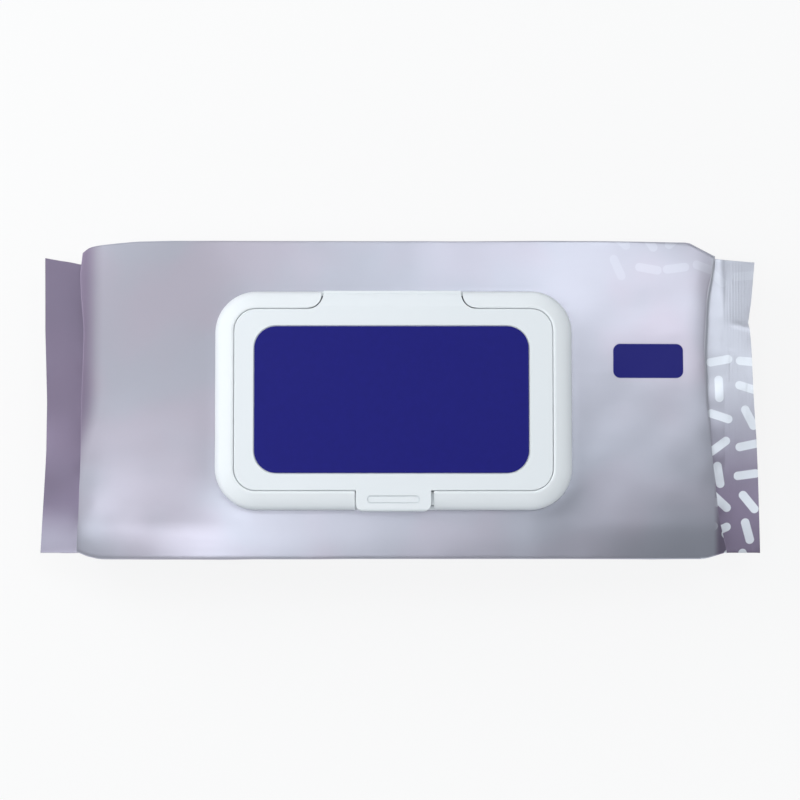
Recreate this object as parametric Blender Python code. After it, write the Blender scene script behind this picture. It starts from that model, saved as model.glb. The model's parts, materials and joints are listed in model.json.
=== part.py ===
"""A soft pack of wet wipes with a flip-top lid, lying on its back seam.

X runs along the pack from fin to fin, +Y points to the lid's hinge and +Z is up.
The origin is at the middle of the underside. The script runs on its own in Blender.
"""

import math

import bmesh
import bpy
from mathutils import Vector

MM = 0.001
GAP = 0.3 * MM  # left between pieces that touch on the real pack

# Film pouch, body
BODY_HEIGHT = 45.0 * MM
BODY_HALF_WIDTH = 49.2 * MM
LONG_EDGE_RADIUS = 3.0 * MM
END_EDGE_RADIUS = 4.0 * MM
TAPER_LENGTH = 30.0 * MM  # over which the ends narrow
MID_ROWS = (-50, -30, -10, 10, 30, 50)  # cross-sections of the straight part, in mm
FILM_LINES = (-42, -31, -19, 0, 16, 25.2, 34, 41.5)  # lines along the film, in mm from the middle

# Film pouch, ends
MID_HEIGHT = BODY_HEIGHT / 2  # the fins stand out half way up
FIN_THICKNESS = 1.0 * MM
FIN_SIDE_ROUND = 0.1 * MM
END_WALL = ((0.3, 0.02), (0.6, 0.09), (0.85, 0.42))  # shares of the way in from a fin's root, and up
GUSSET_DEPTH = 18.0 * MM  # how far the side panels are tucked in where they meet a fin
FIN_BEND_LINE = 25.2 * MM  # the right fin is folded here
FIN_BEND_SLOPE = 0.16
FIN_FRONT = 47.2 * MM

# Back seam, pressed flat along the underside
SEAM_HALF_WIDTH = 6.5 * MM
SEAM_GROOVE = 0.5 * MM

# Lid unit: the frame and the lid share one outline, and depths count inwards from it
UNIT_X = -2.0 * MM
UNIT_Y = -0.9 * MM
UNIT_HALF_LENGTH = 54.8 * MM
UNIT_HALF_DEPTH = 33.6 * MM
UNIT_CORNER = 12.8 * MM
WINDOW_CORNER = 6.5 * MM
UNIT_HEIGHT = 7.5 * MM
RIM_DEPTH = 5.9 * MM
WINDOW_DEPTH = 14.2 * MM
WALL = 1.2 * MM
COAMING_HEIGHT = 4.2 * MM

# Lid
LID_GAP = 0.4 * MM
LID_TOP = 7.4 * MM
LID_THICKNESS = 1.4 * MM
LID_SKIRT_FOOT = 1.7 * MM
SKIRT_DRAFT = 0.5 * MM  # the skirt leans in, which clears the rim as the lid swings
SEAL_RIB_DEPTH = 11.3 * MM
SEAL_RIB_WIDTH = 1.1 * MM

# Hinge tongue at the back of the lid
TONGUE_X = -0.4 * MM
TONGUE_HALF_WIDTH = 21.4 * MM
TONGUE_FLARE = 4.3 * MM
TONGUE_FOOT = 4.5 * MM
TONGUE_GAP = 0.5 * MM
HINGE_OUTBOARD = 0.3 * MM
HINGE_HEIGHT = 4.8 * MM
TONGUE_SEAT = 4.0 * MM  # height of the frame left under the tongue

# Thumb tab at the front of the lid
TAB_HALF_WIDTH = 11.5 * MM
TAB_PROUD = 0.5 * MM
TAB_CORNER = 1.7 * MM
TAB_FOOT = 2.6 * MM
TAB_TOP = 7.2 * MM
TAB_SEAT = 2.2 * MM  # height of the frame left under the tab
GRIP_HALF_LENGTH = 8.05 * MM
GRIP_HALF_WIDTH = 1.2 * MM
GRIP_DEPTH_FROM_FRONT = 3.0 * MM
GRIP_SINK = 0.5 * MM

# Stickers
LABEL_X = -0.6 * MM
LABEL_HALF_LENGTH = 42.0 * MM
LABEL_HALF_DEPTH = 22.5 * MM
LABEL_CORNER = 6.8 * MM
LABEL_THICKNESS = 0.25 * MM
LABEL_RECESS = 0.55 * MM
SEAL_HALF_LENGTH = 36.0 * MM
SEAL_HALF_DEPTH = 15.0 * MM
SEAL_CORNER = 6.0 * MM
SEAL_TAB_RADIUS = 7.0 * MM
SEAL_TAB_REACH = 3.0 * MM

ARC_STEPS = 6  # segments in a rounded corner
CUT_MARGIN = 2.0 * MM  # how far a cutter runs past what it cuts


class PackEnd:
    """One end of the pouch.

    fin_edge, fin_root and shoulder are (y, distance from the middle) in mm, from front to back.
    fin_back is the fin's back corner at its edge and at its root. back_side and front_side are
    (distance inwards from the shoulder, half width) in mm.
    """

    def __init__(self, side, fin_edge, fin_root, shoulder, fin_back, back_side, front_side, bent):
        self.side = side
        self.fin_edge = fin_edge
        self.fin_root = fin_root
        self.shoulder = shoulder
        self.fin_back = fin_back
        self.back_side = back_side
        self.front_side = front_side
        self.bent = bent
        self.mean_shoulder = sum(reach for _, reach in shoulder) / len(shoulder)


LEFT_END = PackEnd(
    side=-1,
    fin_edge=((-47.2, 113.2), (-14, 111.6), (14, 111.5), (46.2, 112.0)),
    fin_root=((-47.2, 100.6), (44.2, 100.6)),
    shoulder=((-46, 99.8), (-37, 99.2), (-20, 98.6), (2, 98.4), (21, 97.8), (44, 99.2)),
    fin_back=(46.2, 44.2),
    back_side=((0, 45.2), (1.5, 46.6), (4, 47.6), (30, 49.2)),
    front_side=((0, 47.2), (3, 48.5), (7, 49.2)),
    bent=False,
)
RIGHT_END = PackEnd(
    side=1,
    fin_edge=((-47.2, 113.2), (-24, 112.8), (2, 112.1), (17, 111.0), (25.2, 110.4), (45, 112.1)),
    fin_root=((-47.2, 101.9), (45.8, 102.6)),
    shoulder=((-47, 100.9), (-37, 98.9), (-19, 97.1), (1, 95.0), (16, 94.4), (33, 95.3), (44, 97.9)),
    fin_back=(45.0, 45.8),
    back_side=((0, 45.4), (8, 48.7), (30, 49.2)),
    front_side=((0, 47.2), (6, 49.2)),
    bent=True,
)


def clear_scene():
    for item in list(bpy.data.objects):
        bpy.data.objects.remove(item, do_unlink=True)


def plain_material(name, colour, roughness, metallic=0.0):
    """A Principled material with one colour."""
    material = bpy.data.materials.new(name)
    material.use_nodes = True
    shader = material.node_tree.nodes["Principled BSDF"]
    shader.inputs["Base Color"].default_value = (*colour, 1.0)
    shader.inputs["Roughness"].default_value = roughness
    shader.inputs["Metallic"].default_value = metallic
    return material


def add_object(name, bm, parent=None, place=(0, 0, 0), material=None):
    """Puts a bmesh into the scene as an object, with its faces pointing out."""
    bmesh.ops.recalc_face_normals(bm, faces=bm.faces)
    mesh = bpy.data.meshes.new(name)
    bm.to_mesh(mesh)
    bm.free()
    mesh.shade_smooth()
    mesh.set_sharp_from_angle(angle=math.radians(35))
    item = bpy.data.objects.new(name, mesh)
    item.location = place
    item.parent = parent
    bpy.context.collection.objects.link(item)
    if material:
        mesh.materials.append(material)
    return item


def add_empty(name, place, parent=None):
    empty = bpy.data.objects.new(name, None)
    empty.location = place
    empty.parent = parent
    bpy.context.collection.objects.link(empty)
    return empty


def combine(target, tool, operation):
    """Adds a Boolean with another object, which is left out of the model itself."""
    tool.hide_render = True
    tool.display_type = "WIRE"
    modifier = target.modifiers.new(tool.name, "BOOLEAN")
    modifier.operation = operation
    modifier.object = tool
    modifier.solver = "EXACT"


def between(points, at):
    """The value at a place along (place, value) points, in straight runs between them."""
    if at <= points[0][0]:
        return points[0][1]
    for (low, first), (high, second) in zip(points, points[1:]):
        if at <= high:
            return first + (second - first) * (at - low) / (high - low)
    return points[-1][1]


def mix(first, second, share):
    return first + (second - first) * share


def bridge(bm, rings, closed=False):
    """Joins rings of corners that have the same number of points."""
    pairs = list(zip(rings, rings[1:]))
    if closed:
        pairs.append((rings[-1], rings[0]))
    for one, other in pairs:
        for i in range(len(one)):
            j = (i + 1) % len(one)
            bm.faces.new((one[i], one[j], other[j], other[i]))


def half_section(front, back, half_height, radius, tuck):
    """Points (y, z) over the upper half of the pouch, from the front's middle to the back's middle."""
    straight = half_height - radius
    arc = [math.radians(a) for a in (180, 150, 120, 90)]
    points = [(-front + tuck, 0.0), (-front + tuck / 2, straight / 2)]
    points += [(-front + radius + radius * math.cos(a), straight + radius * math.sin(a)) for a in arc]
    points += [(y * MM, half_height) for y in FILM_LINES]
    points += [(back - radius - radius * math.cos(a), straight + radius * math.sin(a)) for a in reversed(arc)]
    points += [(back - tuck / 2, straight / 2), (back - tuck, 0.0)]
    return points


def pouch_ring(bm, front, back, half_height, x_at, bend_at=None):
    """One closed ring round the pouch. x_at gives its x at each y, and bend_at lifts a bent fin."""
    radius = min(LONG_EDGE_RADIUS, 0.45 * half_height)
    closing = 1 - (half_height - FIN_THICKNESS / 2) / (MID_HEIGHT - FIN_THICKNESS / 2)
    tuck = GUSSET_DEPTH * closing if half_height > FIN_THICKNESS else -FIN_SIDE_ROUND
    upper = half_section(front, back, half_height, radius, tuck)
    lower = [(y, -z) for y, z in reversed(upper[1:-1])]
    ring = []
    for y, z in upper + lower:
        lift = bend_at(y) if bend_at else 0.0
        ring.append(bm.verts.new((x_at(y), y, MID_HEIGHT + z + lift)))
    return ring


def fin_rings(bm, end):
    """The rings of an end fin, from its cut edge to its root."""
    for share in (0.0, 0.5, 1.0):
        def x_at(y, share=share):
            edge = between(end.fin_edge, y / MM)
            root = between(end.fin_root, y / MM)
            return end.side * mix(edge, root, share) * MM

        def bend_at(y, share=share):
            past = max(0.0, y - FIN_BEND_LINE) if end.bent else 0.0
            return past * FIN_BEND_SLOPE * (1 - share)

        back = mix(end.fin_back[0], end.fin_back[1], share) * MM
        yield pouch_ring(bm, FIN_FRONT, back, FIN_THICKNESS / 2, x_at, bend_at)


def wall_rings(bm, end):
    """The rings of the end wall, which is steep above and runs out gently into the fin."""
    for inward, upward in END_WALL:
        def x_at(y, inward=inward):
            root = between(end.fin_root, y / MM)
            shoulder = between(end.shoulder, y / MM)
            return end.side * mix(root, shoulder, inward) * MM

        half_height = mix(FIN_THICKNESS / 2, MID_HEIGHT - END_EDGE_RADIUS, upward)
        back = mix(end.fin_back[1], end.back_side[0][1], inward) * MM
        yield pouch_ring(bm, FIN_FRONT, back, half_height, x_at)


def shoulder_rings(bm, end):
    """The rings round the end's edge and over the length in which the pouch widens."""
    turns = [math.radians(a) for a in (0, 22.5, 45, 67.5, 90)]
    edge = [
        (END_EDGE_RADIUS * (1 - math.cos(a)), MID_HEIGHT - END_EDGE_RADIUS * (1 - math.sin(a)))
        for a in turns
    ]
    flat = [(inward * MM, MID_HEIGHT) for inward in (14, 22, 30)]
    for inward, half_height in edge + flat:
        fade = max(0.0, (inward - END_EDGE_RADIUS) / (TAPER_LENGTH - END_EDGE_RADIUS))

        def x_at(y, inward=inward, fade=fade):
            shoulder = mix(between(end.shoulder, y / MM), end.mean_shoulder, fade)
            return end.side * (shoulder * MM - inward)

        front = between(end.front_side, inward / MM) * MM
        back = between(end.back_side, inward / MM) * MM
        yield pouch_ring(bm, front, back, half_height, x_at)


def cap_fin(bm, ring):
    """Closes a fin's cut edge with strips between its upper and lower sides."""
    last = len(ring)
    for i in range(last // 2):
        j = (last - i) % last
        corners = (ring[i], ring[i + 1], ring[last - i - 1], ring[j])
        distinct = list(dict.fromkeys(corners))
        bm.faces.new(distinct)


def film_pouch(material):
    """The sealed film sleeve: a loft along X, from fin to fin."""
    bm = bmesh.new()
    left = [*fin_rings(bm, LEFT_END), *wall_rings(bm, LEFT_END), *shoulder_rings(bm, LEFT_END)]
    right = [*fin_rings(bm, RIGHT_END), *wall_rings(bm, RIGHT_END), *shoulder_rings(bm, RIGHT_END)]
    middle = [
        pouch_ring(bm, BODY_HALF_WIDTH, BODY_HALF_WIDTH, MID_HEIGHT, lambda y, x=x: x * MM)
        for x in MID_ROWS
    ]
    rings = left + middle + right[::-1]
    bridge(bm, rings)
    cap_fin(bm, rings[0])
    cap_fin(bm, rings[-1])
    pouch = add_object("film_pouch", bm, material=material)
    for side in (-1, 1):
        groove = seam_groove(side)
        combine(pouch, groove, "DIFFERENCE")
    return pouch


def seam_groove(side):
    """A V-shaped cutter along one border of the back seam."""
    bm = bmesh.new()
    y = side * SEAM_HALF_WIDTH
    rings = []
    for x in (-92 * MM, 92 * MM):
        corners = ((y - SEAM_GROOVE, -SEAM_GROOVE), (y + SEAM_GROOVE, -SEAM_GROOVE), (y, SEAM_GROOVE))
        rings.append([bm.verts.new((x, *corner)) for corner in corners])
    bridge(bm, rings)
    bm.faces.new(rings[0])
    bm.faces.new(rings[1])
    return add_object("seam_groove_cutter", bm)


def rounded_rectangle(half_x, half_y, radius, centre_x=0.0):
    """Corners of a rounded rectangle, anticlockwise from the lower right."""
    points = []
    for turn, sign_x, sign_y in ((270, 1, -1), (0, 1, 1), (90, -1, 1), (180, -1, -1)):
        for step in range(ARC_STEPS + 1):
            angle = math.radians(turn + 90 * step / ARC_STEPS)
            x = centre_x + sign_x * (half_x - radius) + radius * math.cos(angle)
            y = sign_y * (half_y - radius) + radius * math.sin(angle)
            points.append((x, y))
    return points


def unit_ring(bm, depth, z):
    """A ring at a depth inwards from the lid unit's outline."""
    corner = max(UNIT_CORNER - depth, WINDOW_CORNER)
    outline = rounded_rectangle(UNIT_HALF_LENGTH - depth, UNIT_HALF_DEPTH - depth, corner)
    return [bm.verts.new((x, y, z)) for x, y in outline]


def prism(outline, low, high):
    """A bmesh of an outline extruded from one height to another."""
    bm = bmesh.new()
    rings = [[bm.verts.new((x, y, z)) for x, y in outline] for z in (low, high)]
    bridge(bm, rings)
    bm.faces.new(rings[0])
    bm.faces.new(rings[1])
    return bm


def bar(profile, half_width, centre_x=0.0):
    """A bmesh of a (y, z) profile extruded along X."""
    bm = bmesh.new()
    rings = [[bm.verts.new((centre_x + side * half_width, y, z)) for y, z in profile] for side in (-1, 1)]
    bridge(bm, rings)
    bm.faces.new(rings[0])
    bm.faces.new(rings[1])
    return bm


def rim_outside():
    """The rim's outer side as (depth, z) in mm: a short wall, then a domed slope up to the crest."""
    return [(0, 0), (0, 3.0), (0.4, 4.4), (1.2, 5.6), (2.4, 6.5), (3.8, 7.15)]


def lid_frame(unit, material):
    """The moulded frame: a hollow rounded rim, a floor and a low wall round the window."""
    inner_wall = RIM_DEPTH - WALL
    section = [(depth * MM, z * MM) for depth, z in rim_outside()]
    section += [(5.0 * MM, UNIT_HEIGHT), (5.4 * MM, UNIT_HEIGHT), (RIM_DEPTH, 7.1 * MM), (RIM_DEPTH, WALL)]
    section += [(WINDOW_DEPTH - WALL, WALL), (WINDOW_DEPTH - WALL, COAMING_HEIGHT)]
    section += [(WINDOW_DEPTH, COAMING_HEIGHT), (WINDOW_DEPTH, 0), (inner_wall, 0)]
    section += [(inner_wall, 6.1 * MM), (3.0 * MM, 5.4 * MM), (1.5 * MM, 3.9 * MM), (WALL, 0)]
    bm = bmesh.new()
    bridge(bm, [unit_ring(bm, depth, z) for depth, z in section], closed=True)
    frame = add_object("lid_frame", bm, unit, material=material)
    top = UNIT_HEIGHT + CUT_MARGIN
    tongue_room = prism(tongue_outline(TONGUE_GAP, RIM_DEPTH + LID_GAP), TONGUE_SEAT, top)
    combine(frame, add_object("tongue_cutter", tongue_room, unit), "DIFFERENCE")
    tab_room = prism(tab_outline(LID_GAP, CUT_MARGIN, RIM_DEPTH + LID_GAP), TAB_SEAT, top)
    combine(frame, add_object("tab_cutter", tab_room, unit), "DIFFERENCE")
    return frame


def tongue_outline(clearance, depth):
    """The tongue from above, wider towards the lid, where two hollow arcs meet the lid's edge."""
    radius = TONGUE_FLARE - clearance
    back = UNIT_HALF_DEPTH
    centre_x = TONGUE_HALF_WIDTH + TONGUE_FLARE
    centre_y = back - (RIM_DEPTH + LID_GAP - TONGUE_FLARE)
    arc = []
    for step in range(ARC_STEPS + 1):
        angle = math.radians(90 * step / ARC_STEPS)
        arc.append((centre_x - radius * math.cos(angle), centre_y - radius * math.sin(angle)))
    right = [(centre_x - radius, back + CUT_MARGIN), *arc, (centre_x, back - depth - MM)]
    left = [(-x, y) for x, y in reversed(right)]
    return [(x + TONGUE_X, y) for x, y in right + left]


def tab_outline(clearance, reach, depth):
    """The thumb tab from above, with its two front corners rounded."""
    half = TAB_HALF_WIDTH + clearance
    front = -UNIT_HALF_DEPTH - reach
    radius = TAB_CORNER
    right = [(half, -UNIT_HALF_DEPTH + depth)]
    for step in range(ARC_STEPS + 1):
        angle = math.radians(90 * step / ARC_STEPS)
        right.append((half - radius * (1 - math.cos(angle)), front + radius * (1 - math.sin(angle))))
    return right + [(-x, y) for x, y in reversed(right)]


def lid_tongue(unit):
    """The tongue: it follows the rim over its back and ends above the hinge line."""
    inside = RIM_DEPTH + 2.1 * MM
    skin = LID_TOP - LID_THICKNESS
    outer = [(inside, LID_TOP), (5.2 * MM, LID_TOP), (3.8 * MM, 7.05 * MM), (2.4 * MM, 6.4 * MM)]
    outer += [(1.2 * MM, 5.5 * MM), (0.5 * MM, TONGUE_FOOT)]
    inner = [(1.8 * MM, TONGUE_FOOT), (2.4 * MM, 5.1 * MM), (3.8 * MM, skin), (inside, skin)]
    profile = [(UNIT_HALF_DEPTH - depth, z) for depth, z in outer + inner]
    tongue = add_object("tongue_shape", bar(profile, TONGUE_HALF_WIDTH + 2 * TONGUE_FLARE, TONGUE_X), unit)
    outline = prism(tongue_outline(0.0, inside), 0.0, UNIT_HEIGHT + CUT_MARGIN)
    combine(tongue, add_object("tongue_plan", outline, unit), "INTERSECT")
    return tongue


def lid_tab(unit):
    """The thumb tab: a short plate with a lip that hangs in front of the frame."""
    inside = RIM_DEPTH + 2.1 * MM
    skin = TAB_TOP - 1.4 * MM
    outer = [(inside, TAB_TOP), (0.6 * MM, TAB_TOP), (-0.2 * MM, 6.8 * MM)]
    outer += [(-TAB_PROUD, 6.0 * MM), (-TAB_PROUD, TAB_FOOT)]
    inner = [(0.8 * MM, TAB_FOOT), (0.8 * MM, skin), (inside, skin)]
    profile = [(depth - UNIT_HALF_DEPTH, z) for depth, z in outer + inner]
    tab = add_object("tab_shape", bar(profile, TAB_HALF_WIDTH), unit)
    outline = prism(tab_outline(0.0, TAB_PROUD, inside + MM), 0.0, UNIT_HEIGHT + CUT_MARGIN)
    combine(tab, add_object("tab_plan", outline, unit), "INTERSECT")
    return tab


def lid(unit, hinge, material):
    """The lid: a plate with a skirt and a seal rib below it, a tongue behind and a tab in front."""
    edge = RIM_DEPTH + LID_GAP
    under = LID_TOP - LID_THICKNESS
    rib_end = SEAL_RIB_DEPTH + SEAL_RIB_WIDTH
    section = [(edge + 0.3 * MM, LID_TOP), (edge, LID_TOP - 0.3 * MM), (edge + SKIRT_DRAFT, LID_SKIRT_FOOT)]
    section += [(edge + WALL, LID_SKIRT_FOOT), (edge + WALL, under), (SEAL_RIB_DEPTH, under)]
    section += [(SEAL_RIB_DEPTH, LID_SKIRT_FOOT), (rib_end, LID_SKIRT_FOOT), (rib_end, under)]
    bm = bmesh.new()
    rings = [unit_ring(bm, depth, z) for depth, z in section]
    bridge(bm, rings)
    bm.faces.new(rings[0])
    bm.faces.new(rings[-1])
    item = add_object("lid", bm, hinge, -hinge.location, material)
    combine(item, lid_tongue(unit), "UNION")
    combine(item, lid_tab(unit), "UNION")
    recess = prism(label_outline(GAP), LID_TOP - LABEL_RECESS, LID_TOP + CUT_MARGIN)
    combine(item, add_object("label_cutter", recess, unit), "DIFFERENCE")
    combine(item, grip_cutter(unit), "DIFFERENCE")
    return item


def grip_cutter(unit):
    """A shallow round-ended groove for the thumb."""
    outline = rounded_rectangle(GRIP_HALF_LENGTH, GRIP_HALF_WIDTH, 0.99 * GRIP_HALF_WIDTH)
    centre = GRIP_DEPTH_FROM_FRONT - UNIT_HALF_DEPTH
    outline = [(x, y + centre) for x, y in outline]
    return add_object("grip_cutter", prism(outline, TAB_TOP - GRIP_SINK, TAB_TOP + CUT_MARGIN), unit)


def label_outline(clearance):
    return rounded_rectangle(
        LABEL_HALF_LENGTH + clearance, LABEL_HALF_DEPTH + clearance, LABEL_CORNER + clearance, LABEL_X
    )


def lid_label(hinge, material):
    """The coloured sticker in the lid's recess."""
    low = LID_TOP - LABEL_THICKNESS
    return add_object("lid_label", prism(label_outline(0.0), low, LID_TOP), hinge, -hinge.location, material)


def seal_sticker(unit, material):
    """The peel seal over the dispensing hole, with a round pull tab in front."""
    outline = rounded_rectangle(SEAL_HALF_LENGTH, SEAL_HALF_DEPTH, SEAL_CORNER)
    rise = SEAL_TAB_RADIUS - SEAL_TAB_REACH
    half_angle = math.degrees(math.acos(rise / SEAL_TAB_RADIUS))
    for step in range(ARC_STEPS + 1):
        angle = math.radians(270 - half_angle + 2 * half_angle * step / ARC_STEPS)
        centre_y = rise - SEAL_HALF_DEPTH
        outline.append((SEAL_TAB_RADIUS * math.cos(angle), centre_y + SEAL_TAB_RADIUS * math.sin(angle)))
    return add_object("seal_sticker", prism(outline, 0.0, LABEL_THICKNESS), unit, material=material)


def build():
    clear_scene()
    film = plain_material("pearl_film", (0.52, 0.52, 0.60), 0.38, 0.65)
    white = plain_material("white_plastic", (0.85, 0.89, 0.93), 0.42)
    blue = plain_material("blue_label", (0.022, 0.022, 0.21), 0.45)
    seal = plain_material("seal_film", (0.62, 0.63, 0.70), 0.35)
    film_pouch(film)
    unit = add_empty("lid_unit", Vector((UNIT_X, UNIT_Y, BODY_HEIGHT + GAP)))
    hinge = add_empty("lid_hinge", Vector((TONGUE_X, UNIT_HALF_DEPTH + HINGE_OUTBOARD, HINGE_HEIGHT)), unit)
    lid_frame(unit, white)
    lid(unit, hinge, white)
    lid_label(hinge, blue)
    seal_sticker(unit, seal)


build()
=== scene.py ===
"""The looks of a soft pack of wet wipes with a flip-top lid, made around its fixed frame.

Lengths are in metres, in the frame's axes: X along the pack, +Y to the lid's hinge and +Z up.
Outlines are lists of points in millimetres, as a maker would read them off a drawing.
"""

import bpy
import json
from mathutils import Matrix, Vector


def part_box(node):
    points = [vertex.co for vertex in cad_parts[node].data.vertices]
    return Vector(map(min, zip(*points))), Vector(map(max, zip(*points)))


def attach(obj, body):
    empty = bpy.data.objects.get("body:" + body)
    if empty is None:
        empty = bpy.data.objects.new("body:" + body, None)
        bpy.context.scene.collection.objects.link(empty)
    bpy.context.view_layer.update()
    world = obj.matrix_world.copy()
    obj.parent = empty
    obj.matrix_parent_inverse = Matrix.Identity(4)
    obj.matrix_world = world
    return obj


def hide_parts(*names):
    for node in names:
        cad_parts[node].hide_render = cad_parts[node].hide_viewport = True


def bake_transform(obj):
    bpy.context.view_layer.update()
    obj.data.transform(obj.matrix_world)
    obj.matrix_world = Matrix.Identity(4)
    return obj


bl_info = {
    "name": "Wet Wipes Pack",
    "version": (1, 0, 0),
    "blender": (4, 5, 0),
    "location": "View3D > Sidebar > Wipes Pack",
    "description": "Builds a soft pack of wet wipes with a flip-top lid",
    "category": "Add Mesh",
}

import json
import math
from typing import NamedTuple

import bmesh
import bpy
import numpy as np
from bpy.props import FloatProperty, FloatVectorProperty, PointerProperty
from mathutils import Matrix, Quaternion, Vector, noise

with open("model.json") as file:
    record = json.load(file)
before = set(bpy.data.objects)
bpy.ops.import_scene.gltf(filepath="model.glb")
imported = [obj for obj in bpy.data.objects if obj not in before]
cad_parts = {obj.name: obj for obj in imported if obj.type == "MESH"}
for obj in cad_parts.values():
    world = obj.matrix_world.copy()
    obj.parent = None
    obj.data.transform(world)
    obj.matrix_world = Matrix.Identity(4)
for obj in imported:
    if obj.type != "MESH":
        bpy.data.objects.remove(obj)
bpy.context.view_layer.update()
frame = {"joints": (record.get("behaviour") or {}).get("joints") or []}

MM = 0.001
FLAT = "film_flat"  # where each point of the film lies on the unrolled film: along, across

POUCH_LOW, POUCH_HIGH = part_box("film_pouch")
FRAME_LOW, FRAME_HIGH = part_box("lid_frame")
LABEL_LOW, LABEL_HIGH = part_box("lid_label")
SEAL_LOW, SEAL_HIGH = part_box("seal_sticker")
HINGE = Vector(frame["joints"][0]["pos_m"])

# Film pouch, from the frame
FRAME_CLEARANCE = 0.3 * MM
BODY_HEIGHT = FRAME_LOW.z - FRAME_CLEARANCE
MID_HEIGHT = BODY_HEIGHT / 2
BODY_HALF_WIDTH = POUCH_HIGH.y
FIN_REACH = POUCH_HIGH.x

# Film pouch, own sizes
LONG_EDGE_RADIUS = 0.45 * MM
LONG_EDGE_SHARE = 0.45  # the most that it may take of a section's half height
SIDE_TUCK = 1.6 * MM  # how far the long sides draw in at half height
FOOT_TUCK = 1.2 * MM  # and at the bottom
TUCK_START = 0.8 * MM  # below the top
SIDE_WAVER = 0.45 * MM
BODY_SHIFT = 0.3 * MM  # the soft body bellies a little towards the front
END_EDGE_RADIUS = 0.12 * MM
END_DROOP = 0.2 * MM  # how far the top bends down before an end's edge
END_DROOP_LENGTH = 6.0 * MM
WALL_STEEPNESS = 2.2  # how soon an end wall turns upright on its way in from the fin
WALL_RISE = 6.0  # how late it gains its height
WALL_FOOT_FLARE = 0.6  # mm that the wall's foot stands back past the fin's root
TAPER_LENGTH = 30.0 * MM
TAPER_SPACING = 1.5  # the power by which the taper's rings stand closer towards the end
END_SIDE_SOFTNESS = 1.0  # mm over which the corners of the end's sides are rounded
FIN_EDGE_SOFTNESS = 0.7  # and those of a fin's cut edge
FIN_THICKNESS = 0.6 * MM
FIN_FRONT = 47.2 * MM
FIN_FOOT = 0.101  # from the pack's middle, where a fin begins to lift
FIN_WAVE = 0.55 * MM
FIN_BEND_LINE = 25.2 * MM
FIN_BEND_SLOPE = 0.07
FIN_BEND_SOFTNESS = 1.2 * MM
FIN_BEND_SLANT = 0.15
GUSSET_DEPTH = 18.0 * MM
SEAL_START = 102.6 * MM  # where a fin's pressed band begins, from the pack's middle
SEAM_HALF_WIDTH = 6.5 * MM
SEAM_HEIGHT = 0.35 * MM
SEAM_SOFTNESS = 0.3 * MM
SEAM_GAP_SHARE = 0.02  # of a step round the sleeve, left between the film's edges
FRONT_DROOP_START = -38.0 * MM  # where the top begins to bend down to the front edge
FRONT_DROOP_LENGTH = 22.0 * MM
FLAT_BORDER = 1.0 * MM  # how far past the lid's frame the film stays flat
SINK_LENGTH = 9.0 * MM  # and how far from there it has mostly sunk

# Relief of the film: sinks as shares of the crown, strengths and heights
SINK_BESIDE_FRAME = 0.30
SINK_AT_ENDS = 0.4
SINK_AT_END_CORNERS = 0.7
SINK_IN_FRONT = 0.6
LEFT_GATHERS = 0.3
RIGHT_GATHERS = 0.35
LEFT_PRESS = 0.35  # of the right fin's pressed lines
SWELL_HEIGHT = 0.14 * MM
RIPPLE_HEIGHT = 0.05 * MM
SIDE_CREASE_DEPTH = 0.45 * MM
SIDE_CREASE_WIDTH = 1.3 * MM
NOTCH_DEPTH = 0.11 * MM
NOTCH_WIDTH = 0.38 * MM
ROOT_LINE_DEPTH = 0.02 * MM
ROOT_LINE_WIDTH = 0.45 * MM
ROOT_LINE_HEIGHT = 3.0 * MM  # that it reaches above and below the fin

# Where that relief fades in or out: distances from the pack's middle, and heights
BODY_END = (0.092, 0.100)
SINKING_END = (0.056, 0.110)
GATHERS_START = (0.090, 0.100)
GATHERS_END = (0.1015, 0.1035)
FIN_START = (0.1005, 0.1030)
NOTCH_START = (0.1035, 0.1065)
TOP_FADE = (MID_HEIGHT + 12 * MM, MID_HEIGHT + 19 * MM)
BASE_FADE = (MID_HEIGHT - 20 * MM, MID_HEIGHT - 21.5 * MM)
SIDE_WAVE_FADE = (MID_HEIGHT - 1 * MM, MID_HEIGHT - 9 * MM)  # above and below the middle
SIDE_FACING = (0.80, 1.0)  # the Y of a normal on the long sides

# Print of the film, and the painted light on the right end above its print: where each field fades in on
# the unrolled film, along or across
LEFT_PRINT = (-0.0915, -0.0980)
LEFT_SLANT = 0.006
LEFT_SLANT_FADE = (0.002, -0.028)
LEFT_PALING = 0.45  # of the left end's print, lost towards the front
LEFT_PALING_FADE = (-0.030, -0.044)
RIGHT_PRINT_AND_PAINTED_LIGHT = (0.0965, 0.0990)
RIGHT_MAUVE = (0.012, -0.036)
UNDERSIDE = (0.094, 0.125)
FRONT_EDGE = (-0.0485, -0.0495)
PRESSED_BAND = (0.1225, 0.1245)
MAUVE_STRENGTH = 0.85
WARM_PEARL = (0.52, 0.48, 0.56)
COOL_PEARL = (0.455, 0.49, 0.57)
FILM_METAL = 0.7
PRINT_BLUR = 0.12 * MM
PANEL_CENTRE = (0.07665, 0.0116)
PANEL_HALF = (0.01085, 0.0053)
PANEL_CORNER = 0.0022

# Scattered dashes, as shares of the square that each lies in
DASH_HALF_LENGTH = 0.315
DASH_HALF_WIDTH = 0.148
DASH_NUDGE = 0.10
DASH_SEED = 3.0
DASH_FIELD = ((0.093, 0.095), (0.020, 0.018), (-0.12, -0.11))  # its edge along, and two across
CORNER_FIELD = ((0.060, 0.072), (0.033, 0.037), (0.09, 0.06))
CORNER_STRENGTH = 0.2

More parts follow.
